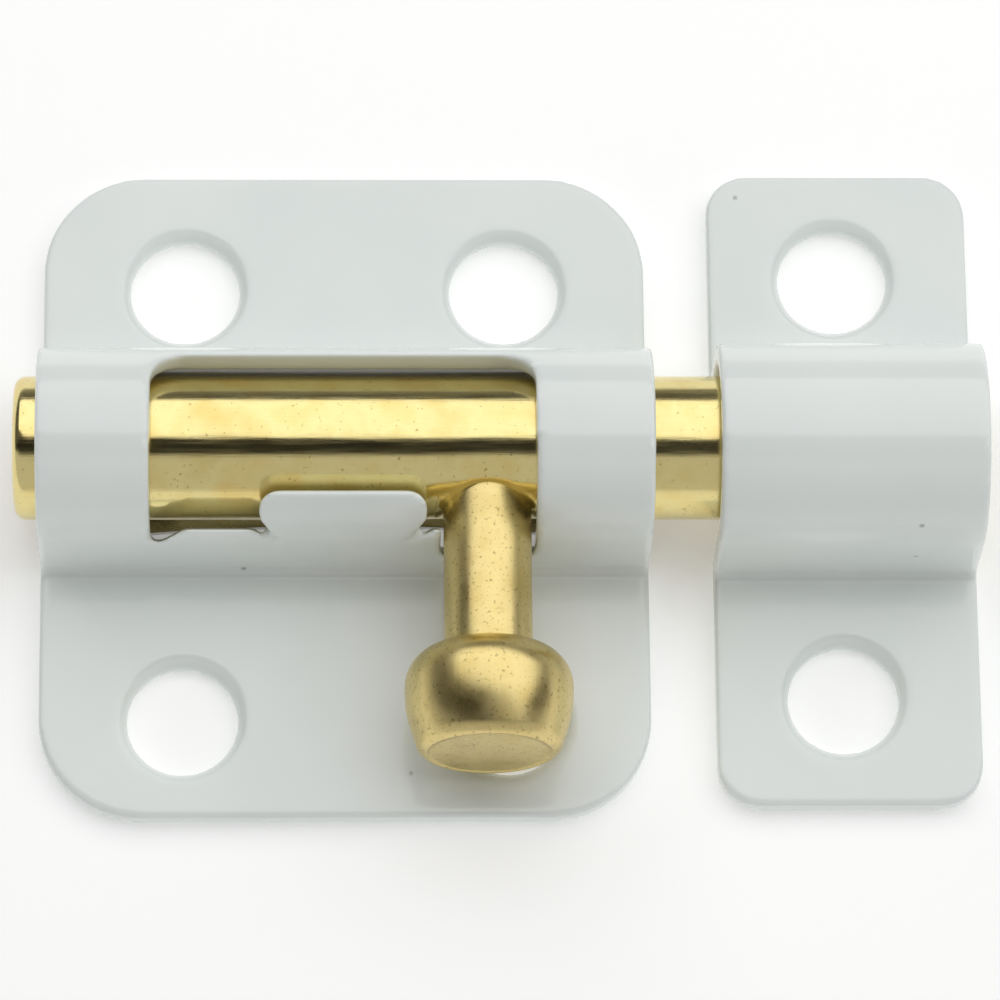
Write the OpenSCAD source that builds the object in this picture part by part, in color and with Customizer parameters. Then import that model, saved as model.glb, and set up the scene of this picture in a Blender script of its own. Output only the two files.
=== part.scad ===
// Toggle bolt latch: a stamped case with a turn-and-slide brass bolt, and a separate stamped keeper.
// The bolt lies along X. The origin is the centre of the case's screw holes, on its back face.

/* [Sheet] */
// Thickness of the stamped sheet with its coat
sheet_t = 0.9; // [0.85:0.05:0.95]
// Radius of the front bend where a barrel rises from its plate
bend_r = 0.3; // [0.3:0.1:0.5]

/* [Bolt] */
// Diameter of the bolt rod
rod_d = 6.1; // [6:0.05:6.2]
// Length of the bolt rod
rod_len = 39.2; // [36:0.2:42]
// How far the rod stands out of the case's left end when the bolt is shot
rod_stand_out = 1.0; // [0.4:0.1:3]
// Height of the rod's axis above the backs of the plates
axis_z = 4.5; // [4.5:0.1:4.8]
// Gap all round between the rod and the case's barrel
case_gap = 0.3; // [0.25:0.05:0.35]
// Gap all round between the rod and the keeper's barrel
keeper_gap = 0.5; // [0.3:0.05:0.6]

/* [Case] */
// Width of the case along the bolt
case_w = 26; // [24:0.5:30]
// Distance from the screw centre up to the case's top edge
case_top = 15; // [14:0.1:18]
// Distance from the screw centre down to the case's bottom edge
case_bottom = 14.1; // [14:0.1:18]
// Radius of the case's corners
case_corner_r = 4.4; // [2:0.2:5]
// Distance between the case's screw holes along the bolt
case_hole_dx = 13.8; // [12:0.2:15]
// Distance between the case's screw holes across the bolt
case_hole_dy = 19.5; // [18.5:0.1:20.5]
// Distance of the barrel's axis above the screw centre
axis_y = 1.15; // [0:0.05:1.5]

/* [Window] */
// Length of the window along the bolt
window_len = 16.2; // [15:0.2:17]
// Distance from the case's middle to the window's middle, along the bolt
window_x = -0.1; // [-0.15:0.05:-0.05]
// Angle of the window's upper edge behind the crown
window_back_deg = 48; // [46:1:50]
// Angle of the window's lower lip in front of the crown
lip_deg = 74; // [73:1:75]
// Radius of the window's upper corners
window_corner_r = 1.6; // [1.2:0.1:1.6]
// Width of the stop tab at its free end
tab_w = 7.1; // [6.9:0.1:7.2]
// Width of the stop tab's neck
tab_neck_w = 4.7; // [4.5:0.1:4.8]
// Angle of the stop tab's free edge in front of the crown
tab_deg = 45; // [44:1:47]

/* [Screw holes] */
// Diameter of every screw hole
hole_d = 4.7; // [4:0.1:5]
// How far the front edge of a hole is broken outwards
hole_break = 0.4; // [0.2:0.1:0.5]

/* [Keeper] */
// Distance from the screw centre to the keeper's middle, along the bolt
keeper_x = 21.4; // [20.5:0.05:23]
// Width of the keeper along the bolt
keeper_w = 11.3; // [10.5:0.1:12]
// Distance from the case's screw centre up to the keeper's top edge
keeper_top = 15.1; // [14:0.1:17]
// Distance from the case's screw centre down to the keeper's bottom edge
keeper_bottom = 13.6; // [13:0.1:16]
// Radius of the keeper's corners
keeper_corner_r = 1.8; // [1:0.1:3]
// Distance between the keeper's screw holes
keeper_hole_dy = 19.1; // [18.5:0.1:20]
// How far the keeper's screw holes lie left of its middle
keeper_hole_dx = 0.2; // [0:0.1:1]
// How far the middle of the keeper's screw holes lies above the case's
keeper_hole_y = 0.7; // [0:0.1:1]

/* [Knob] */
// Diameter of the knob's stem
stem_d = 3.7; // [3.5:0.1:3.7]
// Distance of the stem from the case's middle, along the bolt
stem_x = 6.0; // [5.9:0.05:6]
// How far the stem leans above level, so that the head clears the plate
stem_rise_deg = 1; // [1:0.5:3]
// Distance from the rod's axis to the head's shoulder
head_start = 9.05; // [8.5:0.05:9.5]
// Length of the head
head_len = 4.6; // [4.4:0.05:5.2]
// Largest diameter of the head
head_d = 7.1; // [6.5:0.1:7.1]

/* [Friction spring] */
// Thickness of the leaf
leaf_t = 0.3; // [0.2:0.05:0.4]
// Width of the leaf where it bears on the rod
leaf_w = 4.8; // [3:0.2:5.2]
// Length of the leaf
leaf_len = 22; // [18:0.5:24]

/* [Hidden] */
rod_r = rod_d / 2;
case_in_r = rod_r + case_gap;
case_out_r = case_in_r + sheet_t;
keeper_in_r = rod_r + keeper_gap;
keeper_out_r = keeper_in_r + sheet_t;
rod_left = -case_w / 2 - rod_stand_out;
stem_r = stem_d / 2;
// The punch that shapes the stop tab and the lip goes in at this angle in front of the crown
punch_deg = 22;
// Where that punch stops, below the barrel's axis
punch_depth = 1.5;
// Lip, where that punch meets the barrel, in the punch's own height
lip_y = case_out_r * sin(punch_deg - lip_deg);
// How far the notches beside the tab's neck run down below the lip
neck_drop = 0.75;
// The punch for the window's crown goes in at this angle behind the crown
crown_punch_deg = 8;
// Where that punch's cut ends, in front of the crown
crown_front_deg = 36;
// The front cut is a hair wider than the crown's, because sides in one plane leave a seam
side_step = 0.03;
// Room round the stem in its notch
notch_gap = 0.12;
// How deep the stem is pressed into the rod, past the rod's axis
stem_depth = 1.2;
// Overlap of a press fit, on the radius
press = 0.01;
// Overlap of joined shapes, and how far a cut runs past a face
eps = 0.01;
over = 1;
curve_fn = 96;
small_fn = 48;

// Turns a shape drawn in (Y, Z) and extruded along Z so that it runs along X
module along_x(from, to) {
    translate([from, 0, 0])
        rotate([90, 0, 90])
            linear_extrude(to - from)
                children();
}

// Turns a shape built round +Z so that it stands on the barrel's axis, leaning deg forwards
module at_angle(x, deg) {
    translate([x, axis_y, axis_z])
        rotate([deg, 0, 0])
            children();
}

// Cross-section of a formed sheet: flat plate, a bend, a wall, a half round, and back down
module formed_profile(out_r, in_r, bottom, top) {
    foot = out_r + bend_r;
    back_r = bend_r + sheet_t;
    difference() {
        union() {
            translate([-bottom, 0])
                square([bottom + top, sheet_t]);
            translate([axis_y - foot, 0])
                square([2 * foot, sheet_t + bend_r]);
            translate([axis_y - out_r, 0])
                square([2 * out_r, axis_z]);
            translate([axis_y, axis_z])
                circle(out_r, $fn = curve_fn);
        }
        for (side = [-1, 1])
            translate([axis_y + side * foot, sheet_t + bend_r])
                circle(bend_r, $fn = small_fn);
        translate([axis_y, axis_z])
            circle(in_r, $fn = curve_fn);
        translate([axis_y - in_r, -over])
            square([2 * in_r, axis_z + over]);
        for (side = [-1, 1])
            translate([axis_y + side * foot, 0])
                back_round(side, back_r);
    }
}

// Sheet removed behind a bend, so that the back follows the front at one thickness
module back_round(side, back_r) {
    difference() {
        translate([side > 0 ? -back_r : 0, -over])
            square([back_r, back_r + over]);
        translate([0, back_r])
            circle(back_r, $fn = small_fn);
    }
}

// Material outside the rounded corners of a plate
module corner_waste(x0, x1, y0, y1, r) {
    for (x = [x0, x1])
        for (y = [y0, y1])
            translate([x, y, -over])
                linear_extrude(sheet_t + bend_r + 2 * over)
                    difference() {
                        square(2 * r, center = true);
                        translate([x == x0 ? r : -r, y == y0 ? r : -r])
                            circle(r, $fn = small_fn);
                    }
}

// Through hole with its front edge broken
module screw_hole(x, y) {
    translate([x, y, -over])
        cylinder(h = sheet_t + 2 * over, d = hole_d, $fn = curve_fn);
    translate([x, y, sheet_t - hole_break])
        cylinder(h = hole_break + eps, d1 = hole_d, d2 = hole_d + 2 * (hole_break + eps), $fn = curve_fn);
}

// Outline of the stop tab, seen along its punch: x along the bolt, y upwards from the punch's axis
module tab_outline() {
    free_y = case_out_r * sin(punch_deg - tab_deg);
    corner_r = 0.85;
    // The tab's sides run straight down to here, then slope in to the neck
    side_y = free_y - 1.25;
    shoulder = [tab_w / 2 - 0.45, lip_y - 0.05];
    neck = [tab_neck_w / 2, lip_y - neck_drop - 0.1];
    right = [[tab_w / 2 - 0.05, side_y], shoulder, neck];
    for (side = [-1, 1])
        translate([side * (tab_w / 2 - corner_r), free_y - corner_r])
            circle(corner_r, $fn = small_fn);
    for (side = [0, 1])
        mirror([side, 0])
            polygon(concat(
                [[-eps, free_y], [tab_w / 2 - corner_r, free_y], [tab_w / 2, free_y - corner_r]],
                right,
                [[-eps, neck.y]]
            ));
}

// Slot that runs down beside the tab's neck, where the lip falls away to meet it
module neck_slot() {
    neck_x = tab_neck_w / 2;
    above_lip = 0.4;
    inside_tab = 0.5;
    polygon([
        [neck_x - inside_tab, lip_y - neck_drop],
        [neck_x + 0.15, lip_y - neck_drop],
        [neck_x + 0.65, lip_y - 0.55],
        [neck_x + 1.0, lip_y - 0.3],
        [neck_x + 1.45, lip_y],
        [neck_x + 1.45, lip_y + above_lip],
        [neck_x - inside_tab, lip_y + above_lip]
    ]);
}

// Shallow relief where the lip falls away to the left strap
module strap_relief() {
    left = -window_len / 2 - side_step;
    above_lip = 0.4;
    polygon([
        [left, lip_y - 0.6],
        [left + 0.45, lip_y - 0.57],
        [left + 0.95, lip_y - 0.28],
        [left + 1.45, lip_y],
        [left + 1.45, lip_y + above_lip],
        [left, lip_y + above_lip]
    ]);
}

// Notch in the lip that the stem drops into when the bolt is shot, open to the right strap
module stem_notch() {
    left = stem_x - window_x - stem_r - notch_gap;
    right = window_len / 2 + side_step;
    // Underside of the stem where it passes the outer face of the wall
    stem_under = case_out_r * tan(stem_rise_deg) - stem_r - notch_gap;
    bottom = stem_under * sin(punch_deg) - case_out_r * cos(punch_deg);
    corner_r = 0.4;
    above_lip = 0.4;
    for (x = [left + corner_r, right - corner_r])
        translate([x, bottom + corner_r])
            circle(corner_r, $fn = small_fn);
    translate([left + corner_r, bottom])
        square([right - left - 2 * corner_r, corner_r + eps]);
    translate([left, bottom + corner_r])
        square([right - left, lip_y - bottom - corner_r + above_lip]);
}

// Front of the window, punched from above, which leaves the stop tab standing
module window_front() {
    // The cut reaches up past the front of the crown's cut
    front_top_y = 0.6;
    at_angle(window_x, punch_deg)
        translate([0, 0, -punch_depth])
            linear_extrude(punch_depth + case_out_r + over)
                difference() {
                    union() {
                        translate([-window_len / 2 - side_step, lip_y])
                            square([window_len + 2 * side_step, front_top_y - lip_y]);
                        for (side = [0, 1])
                            mirror([side, 0])
                                neck_slot();
                        strap_relief();
                        stem_notch();
                    }
                    tab_outline();
                }
}

// Crown and back of the window, with its rounded corners
module window_crown() {
    top_y = case_out_r * sin(window_back_deg - crown_punch_deg);
    r = window_corner_r;
    cx = window_len / 2 - r;
    front_y = -case_in_r * sin(crown_front_deg + crown_punch_deg);
    step = 10;
    right = [for (a = [0 : step : 90]) [cx + r * cos(a), top_y - r + r * sin(a)]];
    left = [for (a = [90 : step : 180]) [-cx + r * cos(a), top_y - r + r * sin(a)]];
    at_angle(window_x, -crown_punch_deg)
        linear_extrude(case_out_r + over)
            polygon(concat([[window_len / 2, front_y]], right, left, [[-window_len / 2, front_y]]));
}

module case() {
    color("#e4e9e8")
    difference() {
        along_x(-case_w / 2, case_w / 2)
            formed_profile(case_out_r, case_in_r, case_bottom, case_top);
        corner_waste(-case_w / 2, case_w / 2, -case_bottom, case_top, case_corner_r);
        for (x = [-1, 1])
            for (y = [-1, 1])
                screw_hole(x * case_hole_dx / 2, y * case_hole_dy / 2);
        window_front();
        window_crown();
    }
}

module keeper() {
    left = keeper_x - keeper_w / 2;
    right = keeper_x + keeper_w / 2;
    color("#e4e9e8")
    difference() {
        along_x(left, right)
            formed_profile(keeper_out_r, keeper_in_r, keeper_bottom, keeper_top);
        corner_waste(left, right, -keeper_bottom, keeper_top, keeper_corner_r);
        for (side = [-1, 1])
            screw_hole(keeper_x - keeper_hole_dx, keeper_hole_y + side * keeper_hole_dy / 2);
    }
}

module bolt_rod() {
    edge = 0.5;
    color("#c9a24a")
    difference() {
        translate([rod_left, axis_y, axis_z])
            rotate([0, 90, 0]) {
                cylinder(h = edge, r1 = rod_r - edge, r2 = rod_r, $fn = curve_fn);
                translate([0, 0, edge])
                    cylinder(h = rod_len - 2 * edge, r = rod_r, $fn = curve_fn);
                translate([0, 0, rod_len - edge])
                    cylinder(h = edge, r1 = rod_r, r2 = rod_r - edge, $fn = curve_fn);
            }
        at_angle(stem_x, 90 - stem_rise_deg)
            translate([0, 0, -stem_depth])
                cylinder(h = stem_depth + rod_d, r = stem_r, $fn = small_fn);
    }
}

// Half outline of the knob's head, from shoulder to end face: radius, distance along the stem
module head_outline() {
    r = head_d / 2;
    dome = 1.7;
    end_r = r - 0.45;
    face_r = end_r - 0.3;
    face_in = 0.35;
    translate([r - dome, dome])
        circle(dome, $fn = curve_fn);
    square([r - dome, 2 * dome]);
    polygon([
        [0, dome],
        [r, dome],
        [r - 0.03, dome + 0.6],
        [r - 0.14, dome + 1.4],
        [end_r, head_len - face_in],
        [face_r, head_len],
        [0, head_len]
    ]);
}

module knob() {
    color("#d0ab52")
    at_angle(stem_x, 90 - stem_rise_deg) {
        translate([0, 0, -stem_depth])
            cylinder(h = stem_depth + head_start + 1, r = stem_r + press, $fn = small_fn);
        translate([0, 0, head_start])
            rotate_extrude($fn = curve_fn)
                head_outline();
    }
}

// A bowed leaf whose crown bears on the rod and whose wide ends grip the case's channel
module friction_spring() {
    rod_clear = 0.12;
    crown_z = axis_z - rod_r - rod_clear;
    end_len = 2.4;
    end_z = 0.05;
    rise = crown_z - leaf_t - end_z;
    half = leaf_len / 2 - end_len;
    bow_r = (half * half + rise * rise) / (2 * rise);
    color("#b9bcbe") {
        translate([0, axis_y + leaf_w / 2, crown_z - leaf_t - bow_r])
            rotate([90, 0, 0])
                linear_extrude(leaf_w)
                    intersection() {
                        difference() {
                            circle(bow_r + leaf_t, $fn = 720);
                            circle(bow_r, $fn = 720);
                        }
                        translate([-half - eps, 0])
                            square([2 * (half + eps), bow_r + over]);
                    }
        for (side = [-1, 1])
            translate([side * (half + end_len / 2), axis_y, end_z + leaf_t / 2])
                cube([end_len, 2 * (case_in_r + press), leaf_t], center = true);
    }
}

case();
bolt_rod();
knob();
friction_spring();
keeper();
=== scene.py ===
"""Toggle bolt latch: powder-coated case and keeper, drawn brass bolt, turned brass knob, steel leaf."""
import math

import bmesh
import bpy
from mathutils import Matrix, Vector


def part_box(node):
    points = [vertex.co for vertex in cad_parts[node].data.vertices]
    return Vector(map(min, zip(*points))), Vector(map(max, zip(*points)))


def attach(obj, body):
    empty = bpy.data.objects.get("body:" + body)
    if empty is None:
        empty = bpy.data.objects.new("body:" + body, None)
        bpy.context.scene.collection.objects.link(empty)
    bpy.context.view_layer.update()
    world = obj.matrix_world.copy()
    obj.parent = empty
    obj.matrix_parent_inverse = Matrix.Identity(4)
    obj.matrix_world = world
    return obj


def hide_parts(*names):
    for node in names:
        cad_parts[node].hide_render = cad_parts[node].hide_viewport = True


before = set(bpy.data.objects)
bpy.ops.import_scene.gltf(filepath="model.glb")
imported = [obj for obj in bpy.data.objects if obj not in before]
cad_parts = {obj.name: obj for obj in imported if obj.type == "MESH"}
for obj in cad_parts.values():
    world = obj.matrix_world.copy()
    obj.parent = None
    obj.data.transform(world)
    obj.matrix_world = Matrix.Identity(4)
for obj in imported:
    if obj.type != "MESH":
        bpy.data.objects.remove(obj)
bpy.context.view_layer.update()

MM = 0.001

# ---------------------------------------------------------------- places, from the frame

rod_lo, rod_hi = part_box("bolt_rod")
knob_lo, knob_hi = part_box("knob")

ROD_R = (rod_hi.z - rod_lo.z) / 2
ROD_LEN = rod_hi.x - rod_lo.x
AXIS = Vector((0, (rod_lo.y + rod_hi.y) / 2, (rod_lo.z + rod_hi.z) / 2))
STEM_X = (knob_lo.x + knob_hi.x) / 2
HEAD_R = (knob_hi.x - knob_lo.x) / 2

# The knob's own sizes: its stem leans a little above level, and is pressed in past the rod's axis
STEM_R = 1.86 * MM
RISE = math.radians(1)
HEAD_START = 9.05 * MM
HEAD_LEN = 4.6 * MM
STEM_DEPTH = 1.2 * MM


# ---------------------------------------------------------------- small helpers

def linear(hex_colour):
    """sRGB hex to the linear RGBA that shaders take."""
    channels = [int(hex_colour[i:i + 2], 16) / 255 for i in (1, 3, 5)]
    return [c / 12.92 if c <= 0.04045 else ((c + 0.055) / 1.055) ** 2.4 for c in channels] + [1.0]


def add_node(tree, kind, settings=None, **links):
    """Adds a shader node. Settings are its properties, and links fill its inputs with values or sockets.

    An input is named with _ for a space, or by its number, such as i0, where names repeat.
    """
    node = tree.nodes.new(kind)
    for name, value in (settings or {}).items():
        setattr(node, name, value)
    for name, value in links.items():
        socket = node.inputs[int(name[1:])] if name[1:].isdigit() else node.inputs[name.replace("_", " ")]
        if isinstance(value, bpy.types.NodeSocket):
            tree.links.new(value, socket)
        else:
            socket.default_value = value
    return node


def ramp(tree, factor, stops):
    """A colour ramp from a list of (position, hex or grey level)."""
    node = add_node(tree, "ShaderNodeValToRGB", Fac=factor)
    elements = node.color_ramp.elements
    while len(elements) < len(stops):
        elements.new(0.5)
    for element, (position, colour) in zip(elements, stops):
        element.position = position
        element.color = linear(colour) if isinstance(colour, str) else [colour] * 3 + [1.0]
    return node.outputs["Color"]


def new_material(name, **uniform):
    """A material with a Principled shader whose uniform values are set on its own sockets."""
    material = bpy.data.materials.new(name)
    material.use_nodes = True
    tree = material.node_tree
    shader = tree.nodes["Principled BSDF"]
    for socket, value in uniform.items():
        shader.inputs[socket.replace("_", " ")].default_value = value
    return material, tree, shader


def to_object(name, bm, material, body, replaces):
    """Turns a bmesh into a finished piece that rides on a body."""
    mesh = bpy.data.meshes.new(name)
    bm.to_mesh(mesh)
    bm.free()
    piece = bpy.data.objects.new(name, mesh)
    bpy.context.collection.objects.link(piece)
    mesh.materials.append(material)
    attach(piece, body)
    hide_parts(replaces)
    return piece


def smooth_faces(bm, sharp_deg=40):
    """Smooth shading, with edges over an angle left sharp."""
    limit = math.radians(sharp_deg)
    for face in bm.faces:
        face.smooth = True
    for edge in bm.edges:
        edge.smooth = len(edge.link_faces) != 2 or edge.calc_face_angle(0) < limit


# ---------------------------------------------------------------- materials

def powder_coat():
    """Glossy white powder coat on stamped steel: soft reflections, faint orange peel, a few dark nibs."""
    material, tree, shader = new_material(
        "white_powder_coat", Roughness=0.16, IOR=1.5, Coat_Weight=0.25, Coat_Roughness=0.06)
    place = add_node(tree, "ShaderNodeTexCoord").outputs["Object"]
    # Slight unevenness of the coat over about 6 mm
    cloud = add_node(tree, "ShaderNodeTexNoise", Vector=place, Scale=160.0, Detail=2.0)
    tone = ramp(tree, cloud.outputs["Fac"], [(0.3, "#ebf1ee"), (0.7, "#f0f5f2")])
    # Nibs of dirt under the coat, about 0.2 mm across, drawn larger than real so that they show
    cells = add_node(tree, "ShaderNodeTexVoronoi", {"feature": "F1"}, Vector=place, Scale=700.0)
    pick = add_node(tree, "ShaderNodeSeparateColor", Color=cells.outputs["Color"])
    rare = add_node(tree, "ShaderNodeMath", {"operation": "GREATER_THAN"}, i0=pick.outputs[0], i1=0.93)
    near = add_node(tree, "ShaderNodeMapRange", Value=cells.outputs["Distance"],
                    From_Min=0.05, From_Max=0.11, To_Min=0.5, To_Max=0.0)
    nib = add_node(tree, "ShaderNodeMath", {"operation": "MULTIPLY"}, i0=rare.outputs[0], i1=near.outputs[0])
    mix = add_node(tree, "ShaderNodeMix", {"data_type": "RGBA"}, i0=nib.outputs[0], i6=tone,
                   i7=linear("#4c4a44"))
    tree.links.new(mix.outputs[2], shader.inputs["Base Color"])
    # Orange peel, waves about 0.9 mm long and a few thousandths of a millimetre deep
    peel = add_node(tree, "ShaderNodeTexNoise", Vector=place, Scale=1100.0, Detail=1.0)
    bump = add_node(tree, "ShaderNodeBump", Strength=0.12, Distance=0.02 * MM, Height=peel.outputs["Fac"])
    tree.links.new(bump.outputs["Normal"], shader.inputs["Normal"])
    return material


def drawn_brass():
    """Polished drawn brass bar: fine draw lines along the bar, small pits and tarnish clouds."""
    material, tree, shader = new_material("drawn_brass", Metallic=1.0)
    place = add_node(tree, "ShaderNodeTexCoord").outputs["Object"]
    # Draw lines about 0.1 mm apart and 2 mm long, coarser than real so that they show
    along = add_node(tree, "ShaderNodeMapping", Vector=place, Scale=(0.05, 1.0, 1.0))
    lines = add_node(tree, "ShaderNodeTexNoise", Vector=along.outputs[0], Scale=9000.0, Detail=3.0)
    # Tarnish clouds about 2 mm across
    cloud = add_node(tree, "ShaderNodeTexNoise", Vector=place, Scale=420.0, Detail=3.0)
    tone = ramp(tree, cloud.outputs["Fac"], [(0.25, "#dcc47c"), (0.5, "#e7d898"), (0.8, "#e3c67a")])
    # Pits about 0.2 mm apart
    pits = add_node(tree, "ShaderNodeTexNoise", Vector=place, Scale=5200.0, Detail=2.0)
    pit = ramp(tree, pits.outputs["Fac"], [(0.66, 0.0), (0.74, 0.45)])
    mix = add_node(tree, "ShaderNodeMix", {"data_type": "RGBA"}, i0=pit, i6=tone, i7=linear("#6a5426"))
    tree.links.new(mix.outputs[2], shader.inputs["Base Color"])
    rough = ramp(tree, lines.outputs["Fac"], [(0.3, 0.11), (0.7, 0.21)])
    tree.links.new(rough, shader.inputs["Roughness"])
    bump = add_node(tree, "ShaderNodeBump", Strength=0.22, Distance=0.01 * MM, Height=lines.outputs["Fac"])
    tree.links.new(bump.outputs["Normal"], shader.inputs["Normal"])
    return material


def turned_brass():
    """Satin turned brass, tumbled after turning: lines along the knob, grainy handled patches."""
    material, tree, shader = new_material("turned_brass", Metallic=1.0)
    place = add_node(tree, "ShaderNodeTexCoord").outputs["Object"]
    # Lines along the stem, about 0.2 mm apart and 2.5 mm long
    along = add_node(tree, "ShaderNodeMapping", Vector=place, Scale=(1.0, 0.08, 1.0))
    lines = add_node(tree, "ShaderNodeTexNoise", Vector=along.outputs[0], Scale=5000.0, Detail=3.0)
    # Handled patches about 2 mm across
    cloud = add_node(tree, "ShaderNodeTexNoise", Vector=place, Scale=500.0, Detail=4.0)
    tone = ramp(tree, cloud.outputs["Fac"], [(0.25, "#cbb472"), (0.5, "#dfcb8c"), (0.8, "#d2bb78")])
    # Tumbling leaves a grain of about 0.15 mm
    grain = add_node(tree, "ShaderNodeTexNoise", Vector=place, Scale=6500.0, Detail=2.0)
    pit = ramp(tree, grain.outputs["Fac"], [(0.6, 0.0), (0.72, 0.5)])
    mix = add_node(tree, "ShaderNodeMix", {"data_type": "RGBA"}, i0=pit, i6=tone, i7=linear("#5e4c24"))
    tree.links.new(mix.outputs[2], shader.inputs["Base Color"])
    rough = ramp(tree, cloud.outputs["Fac"], [(0.3, 0.26), (0.7, 0.38)])
    tree.links.new(rough, shader.inputs["Roughness"])
    bump = add_node(tree, "ShaderNodeBump", Strength=0.3, Distance=0.015 * MM, Height=lines.outputs["Fac"])
    tree.links.new(bump.outputs["Normal"], shader.inputs["Normal"])
    return material


def spring_steel():
    """Bright rolled spring steel: grey with fine rolling lines."""
    material, tree, shader = new_material("rolled_spring_steel", Metallic=1.0)
    place = add_node(tree, "ShaderNodeTexCoord").outputs["Object"]
    # Rolling lines about 0.25 mm apart and 5 mm long
    along = add_node(tree, "ShaderNodeMapping", Vector=place, Scale=(0.05, 1.0, 1.0))
    lines = add_node(tree, "ShaderNodeTexNoise", Vector=along.outputs[0], Scale=4000.0, Detail=2.0)
    tone = ramp(tree, lines.outputs["Fac"], [(0.3, "#b4b2ae"), (0.7, "#cfcdca")])
    tree.links.new(tone, shader.inputs["Base Color"])
    rough = ramp(tree, lines.outputs["Fac"], [(0.3, 0.2), (0.7, 0.34)])
    tree.links.new(rough, shader.inputs["Roughness"])
    return material


COAT = powder_coat()
ROD_BRASS = drawn_brass()
KNOB_BRASS = turned_brass()
STEEL = spring_steel()


# ---------------------------------------------------------------- pieces

def coated_sheet(name, node, body):
    """A stamped sheet under a soft coat: the frame's own sheet with every cut edge rounded over."""
    merge_gap = 0.004 * MM
    bm = bmesh.new()
    bm.from_mesh(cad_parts[node].data)
    bmesh.ops.remove_doubles(bm, verts=bm.verts, dist=merge_gap)
    piece = to_object(name, bm, COAT, body, replaces=node)
    build_up = piece.modifiers.new("even_skin", "REMESH")
    build_up.mode = "VOXEL"
    build_up.voxel_size = 0.16 * MM
    build_up.use_smooth_shade = True
    flow = piece.modifiers.new("coat_flow", "SMOOTH")
    flow.factor = 0.5
    flow.iterations = 6


def spun(profile, steps, matrix):
    """Spins an outline of (radius, height) about Z, closes it, and sets it in place."""
    bm = bmesh.new()
    verts = [bm.verts.new((r, 0, z)) for r, z in profile]
    edges = [bm.edges.new(pair) for pair in zip(verts, verts[1:])]
    bmesh.ops.spin(bm, geom=verts + edges, cent=(0, 0, 0), axis=(0, 0, 1), angle=math.tau,
                   steps=steps, use_merge=True, use_duplicate=False)
    bmesh.ops.remove_doubles(bm, verts=bm.verts, dist=0.001 * MM)
    bmesh.ops.recalc_face_normals(bm, faces=bm.faces)
    bmesh.ops.transform(bm, matrix=matrix, verts=bm.verts)
    return bm


def arc(cx, cz, r, from_deg, to_deg, count):
    """Points of a round stretch of an outline."""
    turn = [math.radians(from_deg + (to_deg - from_deg) * i / count) for i in range(count + 1)]
    return [(cx + r * math.cos(a), cz + r * math.sin(a)) for a in turn]


def bolt_rod():
    """Drawn bar with rounded ends, drawn in a little round the pressed stem."""
    edge = 0.5 * MM
    # A narrow groove hugs the stem, in a wider and shallower dish
    groove_depth, groove_width = 0.14 * MM, 0.14 * MM
    dish_depth, dish_width = 0.05 * MM, 0.9 * MM
    ring_step = 0.2 * MM
    rings = int((ROD_LEN - 2 * edge) / ring_step)
    body = [(ROD_R, edge + (ROD_LEN - 2 * edge) * i / rings) for i in range(1, rings)]
    profile = [(0, 0), (ROD_R - edge, 0)]
    profile += arc(ROD_R - edge, edge, edge, -90, 0, 6)[1:]
    profile += body
    profile += arc(ROD_R - edge, ROD_LEN - edge, edge, 0, 90, 6)
    profile += [(0, ROD_LEN)]
    matrix = Matrix.Translation((rod_lo.x, AXIS.y, AXIS.z)) @ Matrix.Rotation(math.pi / 2, 4, "Y")
    bm = spun(profile, 160, matrix)
    stem_dir = Vector((0, -math.cos(RISE), math.sin(RISE)))
    seat = Vector((STEM_X, AXIS.y, AXIS.z))
    for vert in bm.verts:
        out = vert.co - seat
        if out.dot(stem_dir) < 0:
            continue
        ring = (out - stem_dir * out.dot(stem_dir)).length - STEM_R
        radial = Vector((0, vert.co.y - AXIS.y, vert.co.z - AXIS.z))
        groove = groove_depth * math.exp(-(ring / groove_width) ** 2)
        dish = dish_depth * math.exp(-(ring / dish_width) ** 2)
        vert.co -= radial.normalized() * (groove + dish)
    smooth_faces(bm)
    to_object("drawn_bolt_rod", bm, ROD_BRASS, "bolt", replaces="bolt_rod")


def knob():
    """Stem and mushroom head turned in one, with a broken rim round the flat end."""
    r = HEAD_R
    top = HEAD_START
    dome = 1.7 * MM
    end = top + HEAD_LEN
    profile = [(0, -STEM_DEPTH), (STEM_R, -STEM_DEPTH)]
    profile += [(STEM_R, top * i / 24) for i in range(1, 25)]
    profile += [(STEM_R + 0.06 * MM, top + 0.03 * MM)]
    profile += arc(r - dome, top + dome, dome, -84, 0, 16)
    # The side narrows to a broken rim, and a fine step in the flat end runs inside it
    profile += [
        (r - 0.01 * MM, top + 2.1 * MM),
        (r - 0.05 * MM, top + 2.6 * MM),
        (r - 0.14 * MM, top + 3.1 * MM),
        (r - 0.28 * MM, top + 3.6 * MM),
        (r - 0.42 * MM, top + 4.05 * MM),
        (r - 0.52 * MM, end - 0.28 * MM),
        (r - 0.66 * MM, end - 0.12 * MM),
        (r - 0.82 * MM, end - 0.03 * MM),
        (r - 0.90 * MM, end - 0.01 * MM),
        (r - 0.96 * MM, end - 0.05 * MM),
        (r - 1.15 * MM, end - 0.06 * MM),
        (0, end - 0.05 * MM),
    ]
    matrix = Matrix.Translation((STEM_X, AXIS.y, AXIS.z)) @ Matrix.Rotation(math.pi / 2 - RISE, 4, "X")
    bm = spun(profile, 128, matrix)
    smooth_faces(bm, 50)
    to_object("turned_knob", bm, KNOB_BRASS, "bolt", replaces="knob")


coated_sheet("coated_case", "case", "case")
coated_sheet("coated_keeper", "keeper", "keeper")
bolt_rod()
knob()
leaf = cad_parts["friction_spring"]
leaf.data.materials.clear()
leaf.data.materials.append(STEEL)


# ---------------------------------------------------------------- studio

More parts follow.
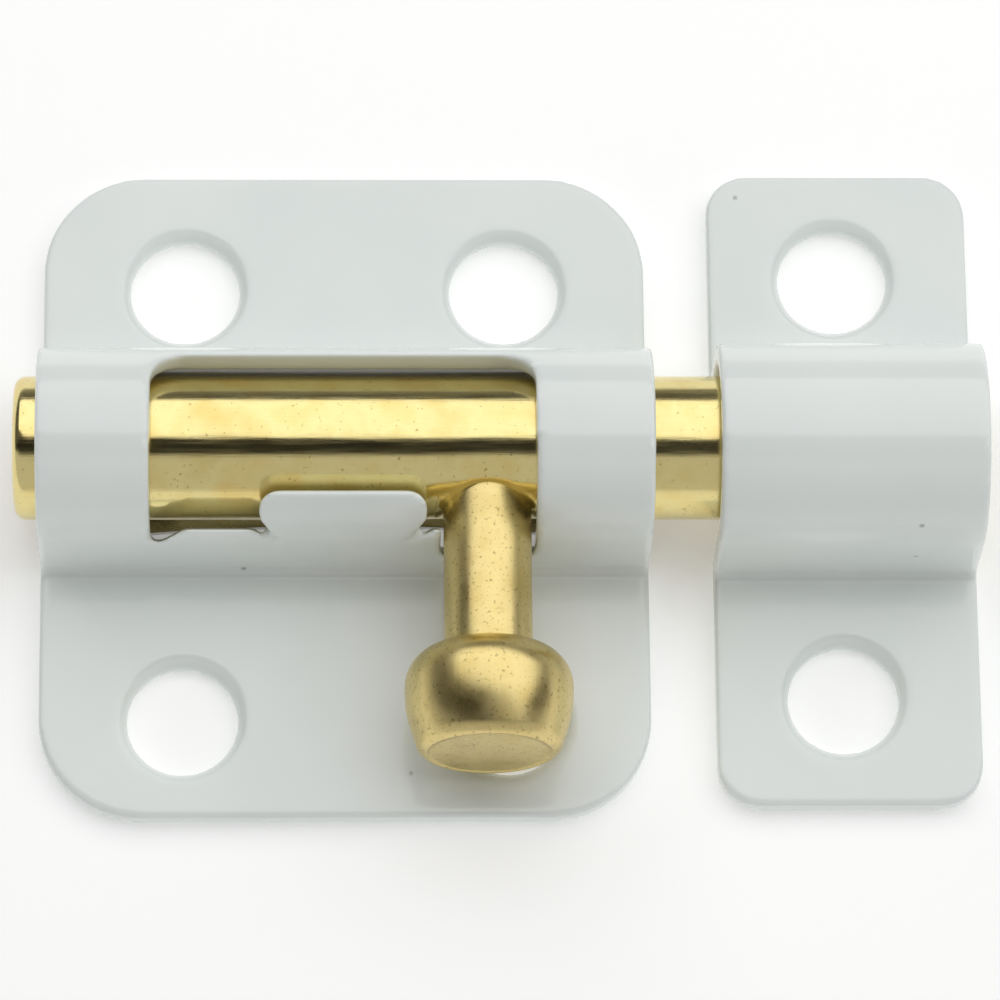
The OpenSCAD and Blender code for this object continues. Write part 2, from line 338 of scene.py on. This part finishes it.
def floor():
    """Pale seamless floor, wide enough to fill every view."""
    bm = bmesh.new()
    bmesh.ops.create_grid(bm, x_segments=1, y_segments=1, size=3.0)
    mesh = bpy.data.meshes.new("floor")
    bm.to_mesh(mesh)
    bm.free()
    plane = bpy.data.objects.new("floor", mesh)
    plane.location.z = -0.05 * MM
    bpy.context.collection.objects.link(plane)
    # Matt white board with a faint glow, which keeps the surround clean and nearly free of shadow
    material, *_ = new_material(
        "pale_floor", Roughness=0.9, Base_Color=linear("#f9f9f8"),
        Emission_Color=linear("#ffffff"), Emission_Strength=0.25)
    mesh.materials.append(material)


def softbox(name, place, aim, width, height, power):
    """A rectangular area light that faces a point."""
    light = bpy.data.lights.new(name, "AREA")
    light.shape = "RECTANGLE"
    light.size = width
    light.size_y = height
    light.energy = power
    lamp = bpy.data.objects.new(name, light)
    lamp.location = place
    lamp.rotation_euler = (Vector(aim) - Vector(place)).to_track_quat("-Z", "Y").to_euler()
    bpy.context.collection.objects.link(lamp)


def studio_world():
    """Surround that is pale to the front and dim behind, with a dark band where the camera stands."""
    world = bpy.data.worlds.new("studio")
    bpy.context.scene.world = world
    world.use_nodes = True
    tree = world.node_tree
    way = add_node(tree, "ShaderNodeTexCoord").outputs["Generated"]
    axes = add_node(tree, "ShaderNodeSeparateXYZ", Vector=way)
    angle = add_node(tree, "ShaderNodeMath", {"operation": "ARCTAN2"}, i0=axes.outputs["Y"],
                     i1=axes.outputs["Z"])
    # From the front horizon, 0, over the zenith, 0.5, to the back horizon, 1
    turn = add_node(tree, "ShaderNodeMapRange", Value=angle.outputs[0],
                    From_Min=-math.pi / 2, From_Max=math.pi / 2)
    band = ramp(tree, turn.outputs[0], [
        (0.0, 0.6),
        (0.10, 0.58),
        (0.31, 0.58),
        (0.345, 0.03),
        (0.45, 0.01),
        (0.5, 0.1),
        (0.8, 0.12),
        (0.9, 0.08),
        (1.0, 0.3),
    ])
    background = tree.nodes["Background"]
    tree.links.new(band, background.inputs["Color"])
    background.inputs["Strength"].default_value = 1.0


def camera():
    """Long lens high over the plates, turned a little so that the plates stand square."""
    azimuth, elevation, roll = math.radians(4.936), math.radians(70.5), math.radians(4.635)
    distance = 0.2818
    target = Vector((6.681, 0.394, 0)) * MM
    back = Vector((-math.sin(azimuth) * math.cos(elevation), -math.cos(azimuth) * math.cos(elevation),
                   math.sin(elevation)))
    data = bpy.data.cameras.new("camera")
    # Focal length in sensor widths
    reach = 6.546
    data.sensor_width = 36
    data.lens = data.sensor_width * reach
    data.clip_start = 0.01
    data.clip_end = 10
    eye = bpy.data.objects.new("camera", data)
    bpy.context.collection.objects.link(eye)
    aim = (-back).to_track_quat("-Z", "Y").to_matrix().to_4x4()
    eye.matrix_world = Matrix.Translation(target + back * distance) @ aim @ Matrix.Rotation(roll, 4, "Z")
    bpy.context.scene.camera = eye


floor()
studio_world()
# The one lamp stands above the latch and behind it
softbox("overhead", place=(0.06, 0.16, 0.30), aim=(0.006, 0, 0), width=0.95, height=0.44, power=1.72)
camera()

bpy.context.scene.view_settings.view_transform = "Standard"
